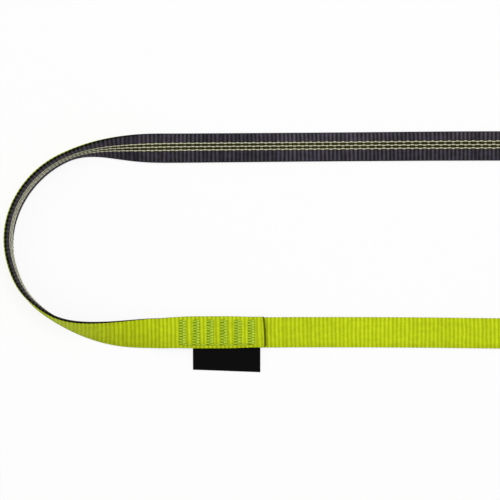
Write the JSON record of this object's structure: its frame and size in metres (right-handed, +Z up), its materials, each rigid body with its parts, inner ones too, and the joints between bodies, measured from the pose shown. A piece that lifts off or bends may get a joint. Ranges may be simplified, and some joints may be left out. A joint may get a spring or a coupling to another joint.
{
  "type": "flat web sling",
  "caption": "Narrow endless web sling, green outside and black inside, lying as a long loop with its bends on edge, joined by a bar-tacked seam with a blank sewn-in label.",
  "frame": {"origin": "under the middle of the sling's outline, label included, on the surface it lies on", "axes": "+X along the loop, away from the bend beside the seam; +Y towards the leg that lies black side up; +Z up"},
  "size_m": [0.5482, 0.1302, 0.016],
  "materials": {
    "web_green": "ribbed polyester web, matt with a slight sheen",
    "web_black": "ribbed polyester web, matt with a slight sheen",
    "tracer_yarn": "pale polyester yarn",
    "sewing_thread": "bonded polyester sewing thread",
    "label_tape": "tightly woven label tape"
  },
  "bodies": {
    "sling": {"web_green_ply": "web_green", "web_black_ply": "web_black", "tracer_yarn_upper": "tracer_yarn", "tracer_yarn_middle": "tracer_yarn", "tracer_yarn_lower": "tracer_yarn", "bar_tack_needle_1": "sewing_thread", "bar_tack_needle_2": "sewing_thread", "bar_tack_needle_3": "sewing_thread", "bar_tack_needle_4": "sewing_thread", "bar_tack_needle_5": "sewing_thread", "bar_tack_needle_6": "sewing_thread", "bar_tack_bobbin_1": "sewing_thread", "bar_tack_bobbin_2": "sewing_thread", "bar_tack_bobbin_3": "sewing_thread", "bar_tack_bobbin_4": "sewing_thread", "bar_tack_bobbin_5": "sewing_thread", "bar_tack_bobbin_6": "sewing_thread", "link_stitch_needle": "sewing_thread", "link_stitch_bobbin": "sewing_thread", "label_tail": "label_tape"},
    "label": {"label_flap": "label_tape"}
  },
  "joints": [
    {"name": "label_fold", "type": "hinge", "parent": "sling", "child": "label", "pos_m": [-0.15562, -0.05249, 0.00269], "axis": [-1, 0, 0], "range_deg": [0, 100]}
  ]
}
